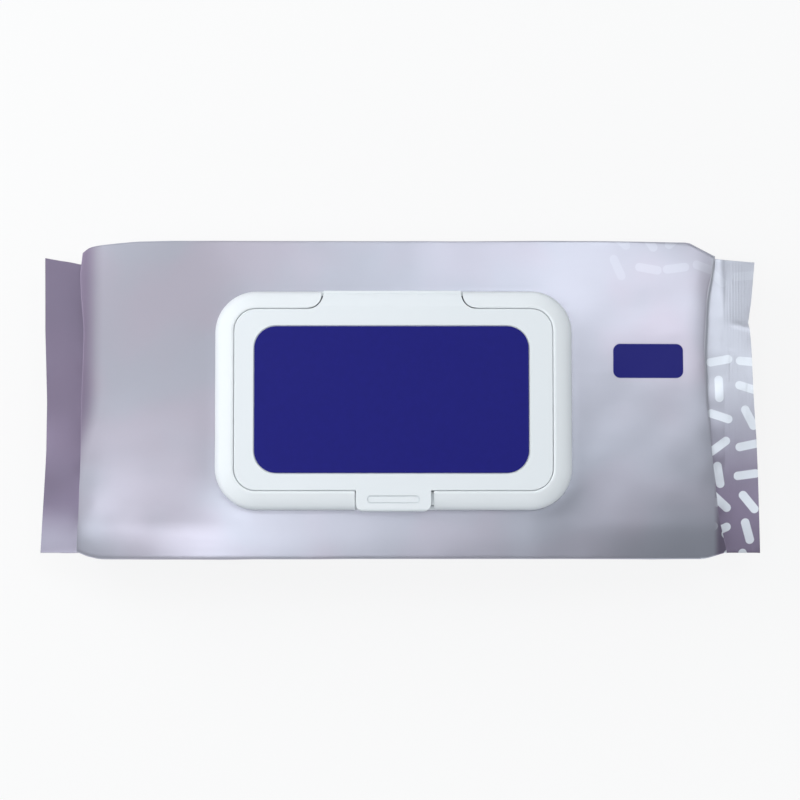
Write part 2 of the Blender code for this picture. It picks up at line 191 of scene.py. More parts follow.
# Lid unit, from the frame
UNIT = (FRAME_LOW + FRAME_HIGH) / 2
UNIT_BASE = FRAME_LOW.z
UNIT_PLACE = Vector((UNIT.x, UNIT.y, UNIT_BASE))
UNIT_HALF_LENGTH = (FRAME_HIGH.x - FRAME_LOW.x) / 2
UNIT_HALF_DEPTH = (FRAME_HIGH.y - FRAME_LOW.y) / 2
UNIT_HEIGHT = FRAME_HIGH.z - FRAME_LOW.z
UNIT_CORNER = 12.8 * MM
WINDOW_CORNER = 6.5 * MM
RIM_DEPTH = 5.9 * MM
LONG_RIM_SHARE = 0.95  # the rim is this much narrower along the two long sides
WALL = 1.2 * MM

# Lid
LID_GAP = 0.13 * MM  # the fine groove round the lid
LID_TOP = 7.4 * MM
LID_THICKNESS = 1.4 * MM
LID_UNDER = LID_TOP - LID_THICKNESS
JOIN_DEPTH = RIM_DEPTH + 2.1 * MM  # where the tongue and the tab end inside the lid
LID_SKIRT_FOOT = 1.7 * MM
LID_EDGE_RADIUS = 0.35 * MM
SKIRT_NECK = 0.45 * MM  # below its top edge the lid draws in, and so clears the rim as it swings
SKIRT_NECK_DROP = 1.6 * MM
SKIRT_DRAFT = 0.8 * MM
SEAL_RIB_DEPTH = 11.3 * MM
SEAL_RIB_WIDTH = 1.1 * MM
TONGUE_X = HINGE.x - UNIT.x
TONGUE_HALF_WIDTH = 21.4 * MM
TONGUE_FLARE = 4.3 * MM
TONGUE_FOOT = 4.5 * MM
TONGUE_OVERHANG = 0.05 * MM
TONGUE_SINK = 0.1  # mm that its dome lies below the rim's
TONGUE_DOME_START = 4.9  # mm above the unit's base
TONGUE_HEADROOM = 0.1 * MM
TONGUE_GAP = 0.32 * MM
TONGUE_DRAFT = 0.45 * MM  # its sides draw in downwards, and so clear the rim as it swings
TONGUE_SEAT = 4.0 * MM
HINGE_STRIP_HALF_WIDTH = 20.4 * MM
HINGE_STRIP_THICKNESS = 0.25 * MM
HINGE_STRIP_PROUD = 0.1 * MM
HINGE_STRIP_LOW = 3.1 * MM
HINGE_STRIP_HIGH = 5.3 * MM
HINGE_STRIP_LEAN = 0.75 * MM
HINGE_LEAN_START = 0.35  # as a share of its height
HINGE_STEPS = 12
TAB_HALF_WIDTH = 11.5 * MM
TAB_PROUD = 0.5 * MM
TAB_CORNER = 2.3 * MM
TAB_GAP = 0.6 * MM
TAB_SLOT_SHIFT = 0.3 * MM  # the tab sits a little left in its slot
TAB_SHELF = 5.5 * MM  # height of the shelf behind the tab's lip
TAB_SHELF_FRONT = 1.4 * MM
TAB_SHELF_BACK = 0.6 * MM  # from the rim's inner side
TAB_SHELF_FOOT = 0.4 * MM
TAB_BROW = 0.8 * MM  # radius of its front edge
TAB_FOOT = 2.6 * MM
TAB_SEAT = 2.2 * MM
GRIP_HALF_LENGTH = 8.05 * MM
GRIP_HALF_WIDTH = 1.2 * MM
GRIP_FROM_FRONT = 3.0 * MM
GRIP_SINK = 0.2 * MM
GRIP_GROOVE_WIDTH = 0.3 * MM
GRIP_GROOVE_DEPTH = 0.7 * MM
GRIP_ROOT = 0.2 * MM
LABEL_CORNER = 6.8 * MM
LABEL_RECESS = 0.55 * MM
LABEL_CLEARANCE = 0.3 * MM
SEAL_CORNER = 6.0 * MM
SEAL_HALF_DEPTH = 15.0 * MM
SEAL_TAB_RADIUS = 7.0 * MM
CUT_MARGIN = 2.0 * MM
WELD_DISTANCE = 0.001 * MM
FRAME_BEVEL = 0.12 * MM
LID_BEVEL = 0.15 * MM
LABEL_BEVEL = 0.08 * MM
SEAL_BEVEL = 0.06 * MM
CORNER_STEPS = 14

# Room, floor and camera
WHITE = (1.0, 1.0, 1.0)
COOL_WHITE = (0.93, 0.98, 1.0)
ROOM_TINT = (0.93, 0.985, 1.03)
ROOM_FALL = 0.30  # how much less the room shines from +X than from its middle
ROOM_GAIN = 0.06  # and how much more from +Y
FLOOR_SIZE = 6.0
FLOOR_GAP = 0.2 * MM
CAMERA_AIM = Vector((0.0, 0.77 * MM, 26.0 * MM))
FLOOR_GLOW = 0.85  # how much of the floor's white is its own, so that its shadows stay faint
CEILING_HEIGHTS = (0.60, 0.86)  # where the ceiling begins and is full, as shares of straight up


def length(name, description, default, least=0.0):
    return FloatProperty(name=name, description=description, default=default, min=least, unit="LENGTH")


def colour(name, description, default):
    return FloatVectorProperty(
        name=name, description=description, default=default, subtype="COLOR", min=0.0, max=1.0
    )


def brightness(name, description, default):
    return FloatProperty(name=name, description=description, default=default, min=0.0)


class FilmSettings(bpy.types.PropertyGroup):
    crown: length("Crown", "How far the top sinks towards the pack's edges", 2.6 * MM)
    crimp_pitch: length(
        "Crimp pitch", "Distance between the pressed lines of an end fin", 0.9 * MM, 0.4 * MM
    )
    crimp_depth: length("Crimp depth", "Height of the pressed lines of an end fin", 0.02 * MM)
    wrinkle: length("Wrinkles", "Height of the folds where the film gathers at the ends", 0.22 * MM)
    pearl: colour("Pearl", "Colour of the metallised film", (0.495, 0.49, 0.565))
    mauve: colour("Mauve", "Colour printed on the pack's ends", (0.21, 0.162, 0.25))
    # The right end above its print is given a paler colour than the pearl film: painted light, for the
    # brighter light that falls there.
    painted_light_end: colour("Painted light end", "Colour of the right end above its print", (0.575, 0.58, 0.65))
    ink: colour("Ink", "Colour of the printed panel", (0.012, 0.012, 0.19))
    dash: colour("Dashes", "Colour of the scattered dashes", (0.76, 0.78, 0.84))
    dash_pitch: length("Dash pitch", "Side of the square that each dash lies in", 9.0 * MM, 4 * MM)


class LidSettings(bpy.types.PropertyGroup):
    plastic: colour("Plastic", "Colour of the frame and the lid", (0.94, 0.963, 0.981))
    label: colour("Label", "Colour of the lid's sticker", (0.013, 0.013, 0.215))
    seal: colour("Seal", "Colour of the peel seal", (0.66, 0.67, 0.74))


class StudioSettings(bpy.types.PropertyGroup):
    distance: length("Camera distance", "From the camera to the pack", 0.95, 0.3)
    elevation: FloatProperty(
        name="Camera elevation", description="Angle of the view above the floor",
        default=math.radians(86), subtype="ANGLE",
    )
    lens: FloatProperty(
        name="Focal length", description="Of the camera, on a sensor 36 mm wide",
        default=135.93, min=20.0, unit="CAMERA",
    )
    walls: brightness("Wall light", "Brightness of the room's walls", 0.77)
    ceiling: brightness("Ceiling light", "Brightness of the room's ceiling", 0.1)
    window: brightness("Window light", "Brightness of the large lamp on the left", 1.55)


# Geometry helpers


def soft_line(points, at, softness=3.0):
    """A line through (place, value) points in mm, with its corners rounded."""
    places, values = zip(*points)
    taps = np.linspace(-1, 1, 11)
    weights = 1 - 0.8 * taps**2
    total = sum(w * np.interp(at + t * softness, places, values) for t, w in zip(taps, weights))
    return total / weights.sum()


def mix(first, second, share):
    return first + (second - first) * share


def smooth_step(low, high, at):
    share = np.clip((at - low) / (high - low), 0, 1)
    return share * share * (3 - 2 * share)


def ridge(at, width):
    """1 at 0, and falling off smoothly over about the given width."""
    return np.exp(-((at / width) ** 2))


def grid_noise(x, y, size, seed):
    """Smooth noise from -1 to 1 over points, with features of about the given size."""
    flat = zip(np.ravel(x) / size, np.ravel(y) / size)
    values = [noise.noise(Vector((a, b, seed))) for a, b in flat]
    return np.array(values).reshape(np.shape(x)) * 1.6


def arc(centre, radius, start, end, steps):
    """Points of an arc, with its angles in degrees."""
    angles = [math.radians(mix(start, end, step / steps)) for step in range(steps + 1)]
    return [(centre[0] + radius * math.cos(a), centre[1] + radius * math.sin(a)) for a in angles]


def rounded_rectangle(half_x, half_y, radius, centre=(0.0, 0.0)):
    """Corners of a rounded rectangle, anticlockwise from the lower right."""
    points = []
    for turn, sign_x, sign_y in ((270, 1, -1), (0, 1, 1), (90, -1, 1), (180, -1, -1)):
        corner = (centre[0] + sign_x * (half_x - radius), centre[1] + sign_y * (half_y - radius))
        points += arc(corner, radius, turn, turn + 90, CORNER_STEPS)
    return points


def bridge(bm, rings, closed=False):
    pairs = list(zip(rings, rings[1:]))
    if closed:
        pairs.append((rings[-1], rings[0]))
    for one, other in pairs:
        for i in range(len(one)):
            j = (i + 1) % len(one)
            bm.faces.new((one[i], one[j], other[j], other[i]))


def add_piece(name, bm, sharp=35.0):
    """Puts a bmesh into the scene, shaded smooth with its sharp edges kept."""
    bmesh.ops.recalc_face_normals(bm, faces=bm.faces)
    mesh = bpy.data.meshes.new(name)
    bm.to_mesh(mesh)
    bm.free()
    mesh.shade_smooth()
    mesh.set_sharp_from_angle(angle=math.radians(sharp))
    piece = bpy.data.objects.new(name, mesh)
    bpy.context.scene.collection.objects.link(piece)
    return piece


def shell(rings, closed=False):
    """A bmesh through rings of points, closed into a loop or else capped at both ends."""
    bm = bmesh.new()
    loops = [[bm.verts.new(point) for point in ring] for ring in rings]
    bridge(bm, loops, closed)
    if not closed:
        bm.faces.new(loops[0])
        bm.faces.new(loops[-1])
    return bm


def prism(outline, low, high, upper=None):
    """A bmesh of an outline extruded from one height to another, where it may turn into another."""
    levels = ((outline, low), (upper or outline, high))
    return shell([[(x, y, z) for x, y in points] for points, z in levels])


def bar(profile, half_width, centre_x=0.0):
    """A bmesh of a (y, z) profile extruded along X."""
    return shell([[(centre_x + side * half_width, y, z) for y, z in profile] for side in (-1, 1)])


def combine(target, tool_mesh, operation):
    """Joins or cuts a piece with a bmesh, and applies the result."""
    tool = add_piece("tool", tool_mesh)
    modifier = target.modifiers.new("shape", "BOOLEAN")
    modifier.operation = operation
    modifier.object = tool
    modifier.solver = "EXACT"
    apply_modifiers(target)
    bpy.data.objects.remove(tool, do_unlink=True)


def apply_modifiers(piece):
    graph = bpy.context.evaluated_depsgraph_get()
    mesh = bpy.data.meshes.new_from_object(piece.evaluated_get(graph))
    piece.modifiers.clear()
    old = piece.data
    piece.data = mesh
    bpy.data.meshes.remove(old)


def weld(piece):
    """Joins the points that a cut left in one place, so that no face is without an area."""
    bm = bmesh.new()
    bm.from_mesh(piece.data)
    bmesh.ops.remove_doubles(bm, verts=bm.verts, dist=WELD_DISTANCE)
    bm.to_mesh(piece.data)
    bm.free()


def finish_moulding(piece, radius):
    """Rounds a moulded piece's edges, moves it from the lid unit's axes to its place and shades it."""
    modifier = piece.modifiers.new("edges", "BEVEL")
    modifier.width = radius
    modifier.segments = 2
    modifier.limit_method = "ANGLE"
    modifier.angle_limit = math.radians(40)
    apply_modifiers(piece)
    weld(piece)
    piece.data.transform(Matrix.Translation(UNIT_PLACE))
    piece.data.shade_smooth()
    piece.data.set_sharp_from_angle(angle=math.radians(50))
    modifier = piece.modifiers.new("flat_faces", "WEIGHTED_NORMAL")
    modifier.keep_sharp = True
    apply_modifiers(piece)


# Material helpers


class Wire:
    """A shader socket that takes part in Python expressions. Each operation adds its Math node."""

    def __init__(self, graph, socket):
        self.graph = graph
        self.socket = socket

    def math(self, operation, *terms):
        return self.graph.add("ShaderNodeMath", {"operation": operation}, dict(enumerate(terms)))

    def other(self, name):
        """Another output of the same node."""
        return Wire(self.graph, self.socket.node.outputs[name])

    def at_least(self, term):
        """The larger of this value and another."""
        return self.math("MAXIMUM", self, term)

    def __add__(self, term):
        return self.math("ADD", self, term)

    def __radd__(self, term):
        return self.math("ADD", term, self)

    def __sub__(self, term):
        return self.math("SUBTRACT", self, term)

    def __rsub__(self, term):
        return self.math("SUBTRACT", term, self)

    def __mul__(self, term):
        return self.math("MULTIPLY", self, term)

    def __rmul__(self, term):
        return self.math("MULTIPLY", term, self)

    def __pow__(self, term):
        return self.math("POWER", self, term)

    def __abs__(self):
        return self.math("ABSOLUTE", self)


class Graph:
    """A node tree, and the ways to add nodes to it."""

    def __init__(self, tree):
        self.tree = tree

    def add(self, kind, settings=None, values=None, output=0):
        """Adds a node: its settings first, then the values or links of its sockets."""
        node = self.tree.nodes.new(kind)
        for name, value in (settings or {}).items():
            setattr(node, name, value)
        for key, value in (values or {}).items():
            self.feed(node.inputs[key], value)
        return Wire(self, node.outputs[output])

    def feed(self, socket, value):
        if isinstance(value, Wire):
            self.tree.links.new(value.socket, socket)
        elif socket.type == "RGBA":
            socket.default_value = (*value, 1.0)
        else:
            socket.default_value = value

    def blend(self, share, first, second):
        """A colour between two colours."""
        return self.add("ShaderNodeMix", {"data_type": "RGBA"}, {0: share, 6: first, 7: second}, 2)

    def vector(self, operation, *terms):
        return self.add("ShaderNodeVectorMath", {"operation": operation}, dict(enumerate(terms)))

    def split(self, vector):
        """The X of a vector, beside its other outputs Y and Z."""
        return self.add("ShaderNodeSeparateXYZ", {}, {0: vector})

    def ease(self, value, low, high):
        """0 below low and 1 above high, smooth between them."""
        return self.add(
            "ShaderNodeMapRange", {"interpolation_type": "SMOOTHSTEP"}, {0: value, 1: low, 2: high}
        )

    def noise(self, where, scale, detail=2.0):
        return self.add("ShaderNodeTexNoise", {}, {"Vector": where, "Scale": scale, "Detail": detail})

    def bump(self, height, distance, strength=1.0, under=None):
        values = {"Height": height, "Distance": distance, "Strength": strength}
        if under:
            values["Normal"] = under
        return self.add("ShaderNodeBump", {}, values)

    def place(self):
        return self.add("ShaderNodeTexCoord", {}, {}, "Object")


class Paint(Graph):
    """A new material with one Principled shader, and the nodes that feed it."""

    def __init__(self, name, roughness, metallic=0.0, **constants):
        self.material = bpy.data.materials.new(name)
        self.material.use_nodes = True
        super().__init__(self.material.node_tree)
        self.shader = self.tree.nodes["Principled BSDF"]
        self.shader.inputs["Roughness"].default_value = roughness
        self.shader.inputs["Metallic"].default_value = metallic
        for socket, value in constants.items():
            self.shader.inputs[socket.replace("_", " ")].default_value = value

    def set(self, socket, value):
        """Feeds one of the shader's own sockets."""
        self.feed(self.shader.inputs[socket], value)

    def mottle(self, share, colour, depth):
        """Colours the surface in patches, down to a share of the full colour."""
        self.set("Base Color", self.blend(share, colour, [depth * channel for channel in colour]))


def rounded_panel(paint, along, across, centre, half, radius):
    """A mask of a rounded rectangle on the unrolled film."""
    out_x = (abs(along - centre[0]) - (half[0] - radius)).at_least(0.0)
    out_y = (abs(across - centre[1]) - (half[1] - radius)).at_least(0.0)
    distance = (out_x * out_x + out_y * out_y) ** 0.5
    return paint.ease(distance, radius + PRINT_BLUR, radius - PRINT_BLUR)


def scattered_dashes(paint, flat, pitch):
    """A mask of short round-ended dashes, one in each square of the film, turned at random.

    Also gives the middle of the square, so that a dash can be shown whole or not at all.
    """
    scaled = paint.vector("MULTIPLY", flat, (1 / pitch, 1 / pitch, 0.0))
    square = paint.vector("FLOOR", scaled)
    seeded = {"Vector": square, "W": DASH_SEED}
    chance = paint.add("ShaderNodeTexWhiteNoise", {"noise_dimensions": "4D"}, seeded)
    local = paint.vector("SUBTRACT", paint.vector("FRACTION", scaled), (0.5, 0.5, 0.0))
    nudge = paint.vector("SUBTRACT", chance.other("Color"), (0.5, 0.5, 0.5))
    local = paint.vector("ADD", local, paint.vector("MULTIPLY", nudge, (DASH_NUDGE, DASH_NUDGE, 0.0)))
    turn = {"Vector": local, "Angle": chance * (2 * math.pi)}
    turned = paint.split(paint.add("ShaderNodeVectorRotate", {"rotation_type": "Z_AXIS"}, turn))
    beyond = (abs(turned) - DASH_HALF_LENGTH).at_least(0.0)
    side = turned.other("Y")
    distance = (beyond * beyond + side * side) ** 0.5
    soft = PRINT_BLUR / pitch
    middle = paint.vector("MULTIPLY", paint.vector("ADD", square, (0.5, 0.5, 0.0)), (pitch, pitch, 0.0))
    return paint.ease(distance, DASH_HALF_WIDTH + soft, DASH_HALF_WIDTH - soft), paint.split(middle)


def dash_field(paint, middle, edges):
    """A mask of the dashes whose squares lie inside a field's edges."""
    along, near, far = edges
    across = middle.other("Y")
    return paint.ease(middle, *along) * paint.ease(across, *near) * paint.ease(across, *far)


def dash_mask(paint, flat, pitch, across, right_end):
    """The dashes of the right end, round to its front side, and faint ones in a back corner."""
    dashes, middle = scattered_dashes(paint, flat, pitch)
    strong = dash_field(paint, middle, DASH_FIELD) * right_end.at_least(paint.ease(across, *FRONT_EDGE))
    return dashes * strong.at_least(dash_field(paint, middle, CORNER_FIELD) * CORNER_STRENGTH)


def pearl_tint(paint, look, where):
    """The film's own colour, with warm and cool clouds."""
    warm = paint.ease(paint.noise(where, 26.0), 0.42, 0.62)
    cool = paint.ease(paint.noise(where, 15.0, 1.0), 0.35, 0.65) * 0.35
    return paint.blend(cool, paint.blend(warm, look.pearl, WARM_PEARL), COOL_PEARL)


def end_print(paint, look, tint, along, across, right_end):
    """Adds the mauve print of both ends, and the right end's paler field above its print, which is painted
    light.
    """
    toward_seam = paint.ease(abs(across), *UNDERSIDE)
    slant = LEFT_SLANT * paint.ease(across, *LEFT_SLANT_FADE) * (1 - toward_seam)
    left_end = paint.ease(along + slant, *LEFT_PRINT)
    left_end = left_end * (1 - LEFT_PALING * paint.ease(across, *LEFT_PALING_FADE) * (1 - toward_seam))
    below_fold = paint.ease(across, *RIGHT_MAUVE).at_least(toward_seam)
    # Painted light: the right end above its print gets a paler colour.
    tint = paint.blend(right_end * (1 - below_fold), tint, look.painted_light_end)
    mauve = left_end.at_least(right_end * below_fold)
    return paint.blend(mauve * MAUVE_STRENGTH, tint, look.mauve)


def film_paint(look):
    """Pearl metallised film with its printed fields."""
    paint = Paint("pearl_film", 0.30, FILM_METAL, Specular_IOR_Level=0.15)
    flat = paint.add("ShaderNodeAttribute", {"attribute_name": FLAT}, {}, "Vector")
    along = paint.split(flat)
    across = along.other("Y")
    where = paint.place()
    right_end = paint.ease(along, *RIGHT_PRINT_AND_PAINTED_LIGHT)
    tint = end_print(paint, look, pearl_tint(paint, look, where), along, across, right_end)
    tint = paint.blend(dash_mask(paint, flat, look.dash_pitch, across, right_end), tint, look.dash)
    panel = rounded_panel(paint, along, across, PANEL_CENTRE, PANEL_HALF, PANEL_CORNER)
    paint.set("Base Color", paint.blend(panel, tint, look.ink))
    paint.set("Metallic", FILM_METAL - FILM_METAL * panel)

    brushed = paint.noise(paint.vector("MULTIPLY", where, (40.0, 1700.0, 300.0)), 1.0)
    paint.set("Roughness", 0.28 + 0.03 * brushed + 0.04 * paint.noise(where, 900.0))
    crimps = paint.noise(paint.vector("MULTIPLY", where, (1500.0, 70.0, 70.0)), 1.0, 1.0)
    pressed = paint.bump(crimps * paint.ease(along, *PRESSED_BAND), 0.07 * MM, 0.45)
    fine = paint.bump(brushed, 0.03 * MM, 0.18, pressed)
    paint.set("Normal", paint.bump(paint.noise(where, 160.0), 0.1 * MM, 0.25, fine))
    return paint.material


def plastic_paint(look):
    """White moulded plastic with a soft satin skin."""
    paint = Paint("white_plastic", 0.42, IOR=1.49)
    where = paint.place()
    paint.mottle(paint.noise(where, 30.0), look.plastic, 0.965)
    skin = paint.noise(where, 1800.0)
    paint.set("Roughness", 0.38 + 0.08 * skin)
    fine = paint.bump(skin, 0.012 * MM, 0.5)
    paint.set("Normal", paint.bump(paint.noise(where, 120.0, 1.0), 0.05 * MM, 0.3, fine))
    return paint.material


def label_paint(look):
    """Printed sticker under a clear satin varnish."""
    paint = Paint("blue_label", 0.42, Specular_IOR_Level=0.12)
    where = paint.place()
    paint.mottle(paint.noise(where, 500.0, 3.0), look.label, 0.86)
    paint.set("Roughness", 0.40 + 0.08 * paint.noise(where, 60.0))
    paint.set("Normal", paint.bump(paint.noise(where, 220.0), 0.04 * MM, 0.2))
    return paint.material


def seal_paint(look):
    """Peel seal of silvery film."""
    paint = Paint("seal_film", 0.34, 0.55)
    where = paint.place()
    cloud = paint.noise(where, 60.0)
    paint.mottle(cloud, look.seal, 0.88)
    paint.set("Roughness", 0.30 + 0.10 * cloud)
    paint.set("Normal", paint.bump(paint.noise(where, 180.0), 0.08 * MM, 0.3))
    return paint.material


# Film sleeve


class PackEnd(NamedTuple):
    """One end of the sleeve. Outlines are (y, distance from the middle) in mm, front to back."""

    side: int
    fin_edge: tuple
    fin_root: tuple
    shoulder: tuple
    fin_back: tuple
    back_side: tuple
    front_side: tuple

    def mean_shoulder(self):
        return sum(reach for _, reach in self.shoulder) / len(self.shoulder)


LEFT_END = PackEnd(
    side=-1,
    fin_edge=(
        (-47.2, 113.1), (-30, 112.2), (-15, 111.5), (0, 111.35), (14, 111.8), (23, 112.1), (46.2, 112.3),
    ),
    fin_root=((-47.2, 100.6), (44.2, 100.6)),
    shoulder=(
        (-46, 99.8), (-37, 99.2), (-20, 98.6), (2, 98.4), (21, 97.8), (31, 98.7), (38, 99.3), (46, 98.4),
    ),
    fin_back=(46.05, 43.95),
    back_side=((0, 45.2), (0.8, 46.3), (2.2, 47.3), (5, 48.0), (11, 48.6), (17, 49.1), (28, 49.2)),
    front_side=((0, 47.2), (3, 48.5), (7, 49.2)),
)
RIGHT_END = PackEnd(
    side=1,
    fin_edge=(
        (-47.2, 113.2), (-24, 112.8), (-12, 112.4), (2, 111.6), (17, 111.05), (23.6, 110.55),
        (25.2, 110.0), (32, 111.0), (45, 112.1),
    ),
    fin_root=((-47.2, 101.9), (45.8, 102.6)),
    shoulder=((-47, 100.9), (-37, 98.4), (-19, 96.5), (1, 94.6), (16, 94.0), (33, 95.1), (44, 97.9)),
    fin_back=(44.5, 45.45),
    back_side=((0, 44.4), (8, 49.0), (28, 49.2)),
    front_side=((0, 47.4), (6, 49.2)),
)

SIDE_STEPS = 15
ARC_STEPS = 6
PANEL_STEPS = 120
FIN_STEPS = 34
WALL_STEPS = 24
EDGE_STEPS = 4
TAPER_STEPS = 20
MIDDLE_STEPS = 64


def half_section(front, back, half_height, tuck):
    """Arrays of (y, z) over the upper half of a cross-section, from the front to the back."""
    rise = np.linspace(0, 1, SIDE_STEPS + 1)[:-1]
    turn = np.radians(np.linspace(180, 90, ARC_STEPS + 1))
    radius = min(LONG_EDGE_RADIUS, LONG_EDGE_SHARE * half_height)
    straight = half_height - radius
    inward = np.concatenate((tuck * (1 - rise), radius * (1 + np.cos(turn))))
    height = np.concatenate((straight * rise, straight + radius * np.sin(turn)))
    across = np.linspace(0, 1, PANEL_STEPS + 1)[1:-1]
    panel_y = mix(-front + inward[-1], back - inward[-1], across)
    y = np.concatenate((-front + inward, panel_y, (back - inward)[::-1]))
    z = np.concatenate((height, np.full(len(panel_y), half_height), height[::-1]))
    return y, z


def ring(front, back, half_height, tuck):
    """Arrays of (y, z) round a whole cross-section, measured from the fins' height."""
    y, z = half_section(front, back, half_height, tuck)
    return np.concatenate((y, y[-2:0:-1])), np.concatenate((z, -z[-2:0:-1]))


def closing_tuck(half_height):
    """How far the side gusset is tucked in where the sleeve is this thick."""
    fin = FIN_THICKNESS / 2
    return GUSSET_DEPTH * (1 - (half_height - fin) / (MID_HEIGHT - fin))


def end_drop(inward):
    """How far the top lies below its full height near an end: a long droop, and then a tight turn."""
    droop = END_DROOP * (1 - min(inward / END_DROOP_LENGTH, 1.0)) ** 2
    beyond = max(0.0, END_EDGE_RADIUS - inward)
    return droop + END_EDGE_RADIUS - math.sqrt(END_EDGE_RADIUS**2 - beyond**2)


def end_rings(end):
    """Rings of (x, y, z) arrays from a fin's cut edge to where the pack's straight part starts."""
    rings = []
    fin_half = FIN_THICKNESS / 2
    for share in np.linspace(0, 1, FIN_STEPS + 1)[:-1]:
        back = mix(*end.fin_back, share) * MM
        y, z = ring(FIN_FRONT, back, fin_half, 0.0)
        edge = soft_line(end.fin_edge, y / MM, FIN_EDGE_SOFTNESS)
        x = mix(edge, soft_line(end.fin_root, y / MM), share) * MM
        rings.append((end.side * x, y, z))
    for share in np.linspace(0, 1, WALL_STEPS + 1)[:-1]:
        inward = 1 - (1 - share) ** WALL_STEEPNESS
        rise = share**WALL_RISE
        half_height = mix(fin_half, MID_HEIGHT - end_drop(0.0), rise)
        back = mix(end.fin_back[1] + WALL_FOOT_FLARE * inward, end.back_side[0][1], rise) * MM
        y, z = ring(FIN_FRONT, back, half_height, closing_tuck(half_height))
        x = mix(soft_line(end.fin_root, y / MM), soft_line(end.shoulder, y / MM), inward) * MM
        rings.append((end.side * x, y, z))
    turn = END_EDGE_RADIUS * (1 - np.cos(np.radians(np.linspace(0, 90, EDGE_STEPS + 1))))
    flat = mix(END_EDGE_RADIUS, TAPER_LENGTH, np.linspace(0, 1, TAPER_STEPS + 1)[1:] ** TAPER_SPACING)
    for inward in (*turn, *flat):
        half_height = MID_HEIGHT - end_drop(inward)
        front = float(soft_line(end.front_side, inward / MM, END_SIDE_SOFTNESS)) * MM
        back = float(soft_line(end.back_side, inward / MM, END_SIDE_SOFTNESS)) * MM
        y, z = ring(front, back, half_height, closing_tuck(half_height))
        fade = max(0.0, (inward - END_EDGE_RADIUS) / (TAPER_LENGTH - END_EDGE_RADIUS))
        shoulder = mix(soft_line(end.shoulder, y / MM), end.mean_shoulder(), fade)
        rings.append((end.side * (shoulder * MM - inward), y, z))
    return rings


def on_body(x):
    """1 over the pack's straight part, and 0 at its ends."""
    return 1 - smooth_step(*BODY_END, np.abs(x))


def lean_in(points):
    """Draws the long sides in below the top's edge, as film hangs from the edge of its stack."""
    z = points[:, :, 2]
    body = on_body(points[:, :, 0])
    lean = SIDE_TUCK * smooth_step(BODY_HEIGHT - TUCK_START, MID_HEIGHT, z)
    lean -= (SIDE_TUCK - FOOT_TUCK) * smooth_step(MID_HEIGHT, 0.0, z)
    points[:, :, 1] *= 1 - body * lean / BODY_HALF_WIDTH
    points[:, :, 1] -= body * BODY_SHIFT


def sleeve_grid():
    """The smooth sleeve as an array of rings, columns and x, y, z."""
    left = end_rings(LEFT_END)
    right = end_rings(RIGHT_END)
    start = left[-1][0].mean()
    finish = right[-1][0].mean()
    middle = []
    for x in np.linspace(start, finish, MIDDLE_STEPS + 1)[1:-1]:
        y, z = ring(BODY_HALF_WIDTH, BODY_HALF_WIDTH, MID_HEIGHT, 0.0)
        middle.append((np.full(len(y), x), y, z))
    rings = left + middle + right[::-1]
    points = np.array([np.stack(arrays, axis=1) for arrays in rings])
    points[:, :, 2] += MID_HEIGHT
    lean_in(points)
    seam = 3 * points.shape[1] // 4
    points[:, seam - 1] = mix(points[:, seam], points[:, seam - 1], SEAM_GAP_SHARE)
    return points


def film_lengths(points):
    """Where each point lies on the unrolled film, along the pack from its middle."""
    steps = np.linalg.norm(np.diff(points, axis=0), axis=2)
    along = np.concatenate((np.zeros((1, points.shape[1])), np.cumsum(steps, axis=0)))
    middle = np.abs(points[:, :, 0]).argmin(axis=0)
    columns = np.arange(points.shape[1])
    return along - along[middle, columns] + points[middle, columns, 0]


def film_widths(points):
    """Where each point lies on the unrolled film, round the pack from the middle of its top.

    The film's two edges meet in the seam under the pack, so the values change sign there. Towards
    the fins the gussets tuck film away, so below them the widths are counted back from the seam.
    """
    columns = points.shape[1]
    top, back, seam = columns // 4, columns // 2, 3 * columns // 4
    ahead = np.roll(points, -1, axis=1) - points
    steps = np.linalg.norm(ahead[:, :, 1:], axis=2)
    round_way = np.cumsum(steps, axis=1) - steps
    half_girth = steps.sum(axis=1).max() / 2
    width = round_way - round_way[:, top:top + 1] + points[:, top:top + 1, 1]
    from_seam = round_way - round_way[:, seam:seam + 1]
    width[:, back + 1:seam] = half_girth + from_seam[:, back + 1:seam]
    width[:, seam:] = from_seam[:, seam:] - half_girth
    return width


def outward(points):
    """Unit normals of the grid, pointing out of the sleeve."""
    length_way = np.gradient(points, axis=0)
    wrapped = np.concatenate((points[:, -1:], points, points[:, :1]), axis=1)
    ring_way = (wrapped[:, 2:] - wrapped[:, :-2]) / 2
    normal = np.cross(length_way, ring_way)
    size = np.linalg.norm(normal, axis=2, keepdims=True)
    return normal / np.maximum(size, 1e-12)


def beside_frame(x, y):
    """0 under the lid's frame, and rising to 1 away from it."""
    over_x = np.maximum(np.abs(x - UNIT.x) - (UNIT_HALF_LENGTH - UNIT_CORNER), 0)
    over_y = np.maximum(np.abs(y - UNIT.y) - (UNIT_HALF_DEPTH - UNIT_CORNER), 0)
    away = np.maximum(np.hypot(over_x, over_y) - UNIT_CORNER - FLAT_BORDER, 0)
    return 1 - np.exp(-away / SINK_LENGTH)


def sink_of_top(x, y, crown):
    """How far the top panel sinks below its flat height, outside the lid's frame."""
    near = beside_frame(x, y)
    ends = smooth_step(*SINKING_END, np.abs(x))
    across = (y / BODY_HALF_WIDTH) ** 2
    edges = smooth_step(FRONT_DROOP_START, FRONT_DROOP_START - FRONT_DROOP_LENGTH, y)
    at_ends = ends * (SINK_AT_ENDS + SINK_AT_END_CORNERS * across)
    return crown * (SINK_BESIDE_FRAME * near + at_ends + SINK_IN_FRONT * edges * near)


